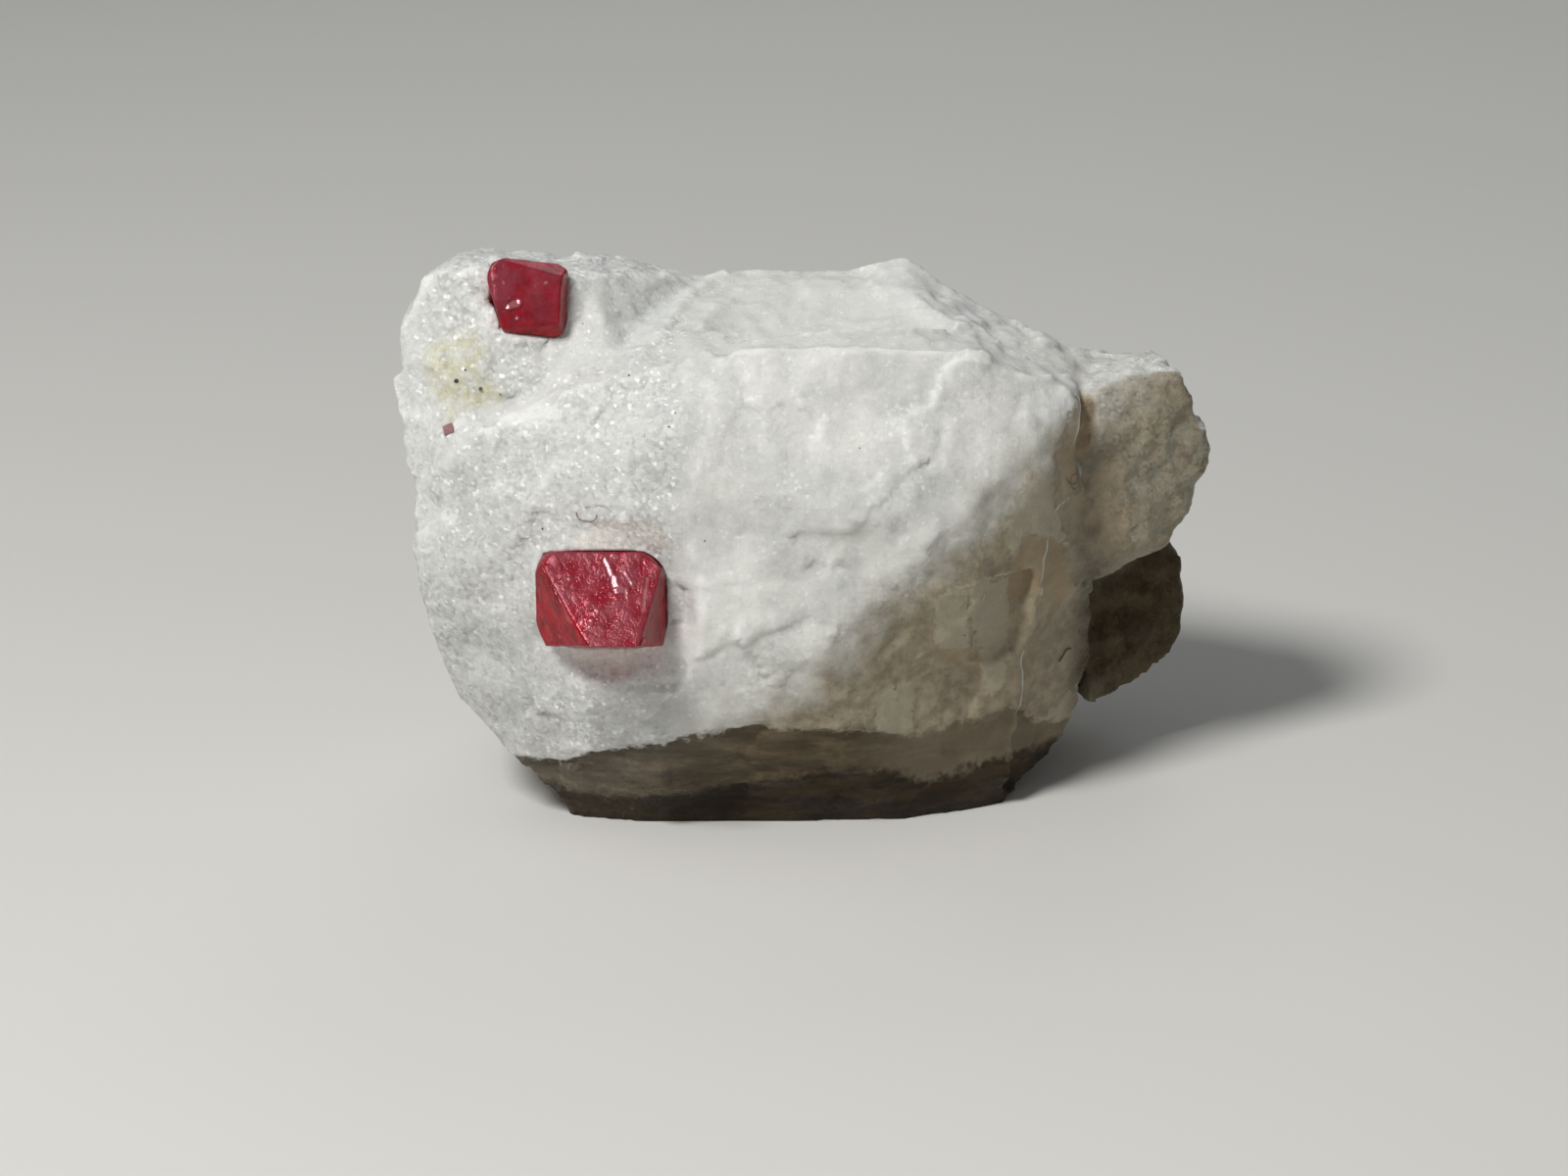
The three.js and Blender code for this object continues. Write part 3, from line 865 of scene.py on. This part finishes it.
def rock_zones(points, normals):
    """The named zones of the rock, each as a weight for every point."""
    wobble = waves(points, 2.6, 7.7) + 0.5 * waves(points, 1.1, 3.3)
    patches = patch_zones(points, normals)
    hidden = smooth(points[:, 1], 4, 10)
    stain = zone(points, STAIN, wobble)
    stain = np.maximum(stain, hidden * 0.55 * smooth(waves(points, 9, 55.5), 0.0, 0.5))
    edge_x = -8.8 + 1.4 * waves(points, 3.2, 21.0)
    sugar = 1 - smooth(points[:, 0], edge_x - 1.6, edge_x + 1.6)
    sugar = np.maximum(sugar, 0.2 + 0.25 * waves(points, 4, 9.9))
    lobe = smooth(points[:, 0], 17.5, 19.5)
    # Painted shade: darker below and right of a slanting line across the front, mostly on faces that
    # look forward
    slope = (points[:, 0] + 1.77) * 0.688 - (points[:, 2] - 10) * 0.725 + 1.6 * wobble + 2.1
    shade = smooth(slope, -3.5, 8.5) * smooth(-normals[:, 1], -0.2, 0.4) * (1 - 0.3 * lobe)
    sugar = np.maximum(sugar, 0.8 * lobe)
    sugar *= 1 - 0.6 * smooth(patches["layered"], 0, 0.5)
    sugar *= 1 - 0.55 * smooth(patches["glassy"], -0.2, 0.3)
    plain = smooth(normals[:, 0], 0.25, 0.5) * smooth(-normals[:, 1], 0.4, 0.6) * (1 - lobe)
    low = zone(points, LOW_LOBE, 0.3 * wobble)
    return patches | {
        "lobe": lobe,
        # Painted shade over the lobe, fading towards its top
        "lobe_shade": lobe * (1 - 0.75 * smooth(points[:, 2] + wobble, 25.5, 29.5)),
        "right": smooth(points[:, 0], 2, 8),
        "plain": plain,
        "shade": shade,
        "stain": stain,
        "sugar": np.clip(sugar, 0, 1),
        "ochre": zone(points, OCHRE, wobble),
        "chip": zone(points, CHIP, wobble),
        # Painted red glow below the large crystal
        "painted_red_glow": 0.05 * zone(points, PAINTED_RED_GLOW, wobble),
        "low": low,
        "grey": zone(points, GREY, wobble),
        # Painted shadow of the main block, on the lobe by the crevice and low down
        "lobe_cast_shadow": lobe * 0.85 * (1 - smooth(points[:, 0] + 0.9 * wobble, 18.8, 23.5))
        * (1 - smooth(points[:, 2] + 0.8 * wobble, 24, 29)),
        "block": blocks(points),
    }


def rock_relief(points, normals, zones):
    """How far each point of the rock moves out along its normal."""
    sugar, lobe = zones["sugar"], zones["lobe"]
    snow, foot = smooth(zones["snow"], -0.1, 0.1), smooth(zones["layered"], -0.1, 0.2)
    plain = 1 - 0.6 * zones["plain"]
    relief = 0.05 * waves(points, 3.1, 2.2) + 0.02 * waves(points, 1.4, 8.1)
    relief += 0.24 * (1 - 0.6 * sugar) * terraces(points, 8, 12.2, 3, (1, 1, 0.7))
    relief += 0.07 * (1 - 0.5 * sugar) * terraces(points, 2.8, 82.2, 2, (1, 1, 0.5))
    relief += grains(points, 4.5, 25.5) * 0.12 * plain
    relief += grains(points, 1.5, 5.5) * 0.06
    relief += grains(points, 0.8, 15.1) * (0.04 + 0.03 * sugar)
    relief *= plain * (1 - 0.8 * smooth(zones["dent"], -0.1, 0.3))
    relief *= 1 - 0.6 * smooth(np.maximum(zones["glassy"], zones["snow"]), -0.2, 0.6)
    relief += (1 - foot) * zones["plain"] * BLOCK_DEPTH * (zones["block"] - 0.5)
    relief += snow * (0.12 * np.abs(waves(points, 1.5, 31.0)) - 0.3)
    for name, height in (("pale", 0.09), ("tan", -0.08), ("brown", -0.16), ("dent", -0.1)):
        relief += height * smooth(zones[name], -0.15, 0.15)
    bedded = points + np.column_stack([np.zeros((len(points), 2)), waves(points, 8, 71.0) * 2.4])
    relief += foot * 0.4 * terraces(bedded, 5.5, 17.7, 3, (0.7, 0.7, 1.8))
    relief -= 0.22 * foot
    relief += lobe * (0.16 - 0.55 * np.abs(waves(points, 2.6, 91.0)))
    relief += lobe * grains(points, 1.3, 45.5) * 0.2
    rim = 1 - np.abs(normals[:, 1])
    relief += 0.22 * rim * waves(points, 1.2, 61.0) * smooth(points[:, 2], 1.5, 4)
    return relief - ledge_drop(points, normals)


def join_to_scene(mesh, name, material, node):
    piece = bpy.data.objects.new(name, mesh)
    bpy.context.scene.collection.objects.link(piece)
    mesh.materials.append(material)
    mesh.shade_smooth()
    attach(piece, "root")
    if node:
        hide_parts(node)
    return piece


def make_marble(material):
    mesh = fine_mesh("matrix", ROCK_GRID, ROCK_ROUNDING)
    points, normals = read(mesh)
    flat = (points[:, 2] < BASE_BAND) & (normals[:, 2] < -0.6)
    zones = rock_zones(points, normals)
    edges = np.empty(len(mesh.edges) * 2, int)
    mesh.edges.foreach_get("vertices", edges)
    edges = edges.reshape(-1, 2)
    zones["plain"] = settled(zones["plain"][:, None], edges, 8)[:, 0]
    softer = 0.85 * (zones["plain"] * smooth(points[:, 2], 2, 5))[:, None]
    points = points + (settled(points, edges, BLOCK_ROUNDS) - points) * softer
    zones["block"] = settled(zones["block"][:, None], edges, 2)[:, 0]
    points = level_rims(points)
    relief = rock_relief(points, normals, zones)
    relief *= smooth(points[:, 2], 0.2, 2.2)
    seats = {node: crystal_planes(node) for node in CRYSTALS}
    for planes in seats.values():
        relief *= smooth(outside(points, planes)[0], 0.35, 1.5)
    points = points + normals * relief[:, None]
    for node, planes in seats.items():
        near = 1 - smooth(outside(points, planes)[0], 0.38, SEAT_REACH)
        away, towards = outside(points, worn_planes(node))
        points = points - towards * (near * np.clip(away - SEAT_GAP, 0, 1.2))[:, None]
        away, towards = outside(points, planes)
        pushed = np.maximum(SEAT_GAP - away, 0) * (away > -0.25)
        points = points + towards * pushed[:, None]
        if node in GIRDLES:
            centre, axis = GIRDLES[node][:2]
            deep = smooth(-(points - np.array(centre)) @ np.array(axis), 1.0, 2.0)
            points = round_corners(points, node, 0.05, 1 - smooth(away, 0.1, 2.2))
            within = outside(points, worn_planes(node))[0]
            # Painted red glow on the pocket walls below the girdle
            zones["painted_red_glow"] = np.maximum(zones["painted_red_glow"], deep * (1 - smooth(within, 0.05, 0.3)))
    points[:, 2] = np.where(flat, 0, np.maximum(points[:, 2], 0))
    write(mesh, points)
    normals = read(mesh)[1]
    worn = settled(points, edges, EDGE_ROUNDS)
    hollowed = settled(points, edges, HOLLOW_ROUNDS)
    sharp = settled(((points - worn) * normals).sum(1)[:, None], edges, 1)[:, 0]
    # Sharp ridges, for worn whitening and a painted highlight
    zones["edge"] = smooth(sharp, 0.02, 0.09) * (1 - 0.7 * zones["plain"])
    zones["hollow"] = smooth(((hollowed - points) * normals).sum(1), 0.05, 0.45)
    for name, weights in zones.items():
        if name not in SHAPE_ONLY:
            paint(mesh, name, weights)
    return join_to_scene(mesh, "marble", material, "matrix")


def girdle_axes(node):
    """A crystal's outward axis, and the ways across and up its girdle."""
    axis, across = (np.array(way) for way in GIRDLES[node][1:3])
    upward = np.cross(across, axis)
    return axis, across, upward * np.sign(upward[2])


def round_corners(points, node, gap=0.0, weight=None):
    """Brings in what lies past the rounded corners of a crystal's girdle."""
    axis, across, upward = girdle_axes(node)
    half_wide, half_tall = GIRDLES[node][3]
    offset = points - np.array(GIRDLES[node][0])
    u, v = offset @ across, offset @ upward
    weight = np.ones(len(points)) if weight is None else weight
    for (side_u, side_v), radius in zip(((1, 1), (-1, 1), (-1, -1), (1, -1)), WORN_CORNERS[node]):
        du = side_u * u - (half_wide - radius)
        dv = side_v * v - (half_tall - radius)
        reach = np.hypot(du, dv)
        past = (du > 0) & (dv > 0) & (reach > radius + gap)
        shift = np.where(past, 1 - (radius + gap) / np.maximum(reach, 1e-6), 0) * weight
        points = points - np.outer(side_u * du * shift, across)
        points = points - np.outer(side_v * dv * shift, upward)
    return points


def wear_crystal(points, node):
    """Moves a crystal's apex, and brings its four corners in to a worn, rounder outline."""
    axis, across, upward = girdle_axes(node)
    half_wide = GIRDLES[node][3][0]
    offset = points - np.array(GIRDLES[node][0])
    points = round_corners(points, node)
    out = np.maximum(offset @ axis, 0)
    points = points - np.outer(APEX_DROP.get(node, 0) * out, upward)
    if node in TIP_RIDGE:
        u = offset @ across
        left, right = TIP_RIDGE[node]
        half_tip = np.abs(u[out > out.max() - 0.2]).max()
        way = out / out.max()
        part = (u / (half_wide + (half_tip - half_wide) * way) + 1) / 2
        low = -half_wide + (left + half_wide) * way
        high = half_wide + (right - half_wide) * way
        points = points + np.outer(low + part * (high - low) - u, across)
    return points


def glint_way(spot):
    """The way that a face at a spot looks when it mirrors the key light to the camera."""
    spot = Vector(spot)
    back = Vector((0, -math.cos(ELEVATION), math.sin(ELEVATION)))
    to_light = (Vector(LIGHTS["key"][0]) - spot).normalized()
    to_camera = (AIM + back * DISTANCE - spot).normalized()
    return np.array((to_light + to_camera).normalized())


def along_chip(places, start, end):
    """Distance of each place from the middle line of a chip, and its share of the way along."""
    start, along = np.array(start), np.array(end) - np.array(start)
    run = np.clip((places - start) @ along / (along @ along), 0, 1)
    return np.linalg.norm(places - start - run[:, None] * along, axis=1), run


def make_crystal(node, material):
    grid, rounds, ripple = CRYSTALS[node]
    mesh = fine_mesh(node, grid, rounds)
    points, normals = read(mesh)
    chipped = np.zeros(len(points))
    wave = waves(points, 1.3, 4.4) + 0.6 * waves(points, 0.5, 14.4)
    sink = ripple * (1 - wave)
    if node in GIRDLES:
        points = wear_crystal(points, node)
        out, across, upward = girdle_axes(node)
        offset = points - np.array(GIRDLES[node][0])
        places = np.column_stack([offset @ across, offset @ upward])
        shown = offset @ out > 0.15
        towards = glint_way(GIRDLES[node][0])
        for start, end, half_width, depth in CHIPS[node]:
            away, run = along_chip(places, start, end)
            away = away / half_width + 0.35 * waves(points, 0.35, 23.0)
            bowl = np.clip(1 - away * away, 0, 1) * shown
            ends = [
                points[np.where(shown, np.linalg.norm(places - spot, axis=1), np.inf).argmin()]
                for spot in (start, end)
            ]
            line = ends[0] + run[:, None] * (ends[1] - ends[0])
            lean = ((points - line) @ towards) / np.maximum(normals @ towards, 0.3)
            facet = np.clip(lean, -0.25, 0.25) + 0.5 * depth
            chip = smooth(bowl, 0.05, 0.35)
            sink = sink + chip * (facet - sink)
            chipped = np.maximum(chipped, chip)
    write(mesh, points - normals * sink[:, None])
    paint(mesh, "chipped", chipped)
    facing = np.array(FROSTED.get(node, (0, -1, 0)))
    paint(mesh, "frost", smooth(normals @ facing, 0.5, 0.9))
    return join_to_scene(mesh, node + "_stone", material, node)


def surface_finder(piece):
    """A function that gives the front surface point and normal at an X and Z in millimetres."""
    tree = BVHTree.FromObject(piece, bpy.context.evaluated_depsgraph_get())

    def find(x, z):
        start = Vector((x, -60, z)) * MM
        place, normal, _, _ = tree.ray_cast(start, Vector((0, 1, 0)))
        return place, normal

    return find


def make_fibres(find, materials):
    """Each fibre as a thin curved tube, lying on the rock and lifting off it between."""
    for name, (route, thickness) in FIBRES.items():
        curve = bpy.data.curves.new(name, "CURVE")
        curve.dimensions = "3D"
        curve.bevel_depth = thickness * MM
        curve.bevel_resolution = 1
        curve.resolution_u = 6
        line = curve.splines.new("BEZIER")
        line.bezier_points.add(len(route) - 1)
        for i, (point, (x, z)) in enumerate(zip(line.bezier_points, route)):
            place, normal = find(x, z)
            lift = thickness + (FIBRE_LIFT if i % 2 else FIBRE_REST)
            point.co = place + normal * lift * MM
            point.handle_left_type = "AUTO"
            point.handle_right_type = "AUTO"
        draft = bpy.data.objects.new("draft", curve)
        bpy.context.scene.collection.objects.link(draft)
        evaluated = draft.evaluated_get(bpy.context.evaluated_depsgraph_get())
        mesh = bpy.data.meshes.new_from_object(evaluated)
        bpy.data.objects.remove(draft)
        mesh.materials.clear()
        join_to_scene(mesh, name, materials[name], None)


def make_specks(find, material):
    """Dark mineral grains, each a small uneven pebble half sunk in the rock."""
    made = bmesh.new()
    for number, (x, z, radius) in enumerate(SPECKS):
        place, normal = find(x, z)
        if place is None:
            continue
        ball = bmesh.ops.create_icosphere(made, subdivisions=2, radius=radius * MM)["verts"]
        for vert in ball:
            bump = 1 + 0.35 * noise.noise(vert.co / (radius * MM) * 1.3 + Vector((number, 0, 0)))
            vert.co = place + vert.co * bump
    mesh = bpy.data.meshes.new("dark_specks")
    made.to_mesh(mesh)
    made.free()
    join_to_scene(mesh, "dark_specks", material, None)


# Stage

def make_camera():
    back = Vector((0, -math.cos(ELEVATION), math.sin(ELEVATION)))
    camera = bpy.data.cameras.new("camera")
    camera.lens = LENS
    camera.sensor_width = SENSOR
    camera.clip_start = 10 * MM
    camera.clip_end = 2 * FLOOR_SPAN * MM
    holder = bpy.data.objects.new("camera", camera)
    holder.location = (AIM + back * DISTANCE) * MM
    holder.rotation_mode = "QUATERNION"
    holder.rotation_quaternion = (-back).to_track_quat("-Z", "Y")
    bpy.context.scene.collection.objects.link(holder)
    bpy.context.scene.camera = holder


def make_lights():
    for name, (place, size, power, colour) in LIGHTS.items():
        light = bpy.data.lights.new(name, "AREA")
        light.shape = "DISK"
        light.size = size * MM
        light.energy = power
        light.color = colour
        holder = bpy.data.objects.new(name, light)
        holder.location = Vector(place) * MM
        holder.rotation_mode = "QUATERNION"
        holder.rotation_quaternion = (AIM - Vector(place)).to_track_quat("-Z", "Y")
        bpy.context.scene.collection.objects.link(holder)
    world = bpy.data.worlds.new("studio")
    world.use_nodes = True
    background = world.node_tree.nodes["Background"]
    background.inputs["Color"].default_value = SKY
    background.inputs["Strength"].default_value = SKY_STRENGTH
    bpy.context.scene.world = world


def make_floor():
    made = bmesh.new()
    bmesh.ops.create_grid(made, x_segments=1, y_segments=1, size=FLOOR_SPAN * MM / 2)
    mesh = bpy.data.meshes.new("floor")
    made.to_mesh(mesh)
    made.free()
    floor = bpy.data.objects.new("floor", mesh)
    mesh.materials.append(floor_material())
    bpy.context.scene.collection.objects.link(floor)


# The scene

make_camera()
make_lights()
make_floor()
bpy.context.scene.view_settings.view_transform = "Standard"

marble = make_marble(marble_material())
red, pale = (spinel_material(name, *look) for name, look in SPINELS.items())
make_crystal("spinel_large", red)
make_crystal("spinel_upper", red)
make_crystal("spinel_grain", pale)

find_surface = surface_finder(marble)
make_fibres(find_surface, {name: dust_material(name, *look) for name, look in DUST.items()})
make_specks(find_surface, dust_material("speck", *SPECK))
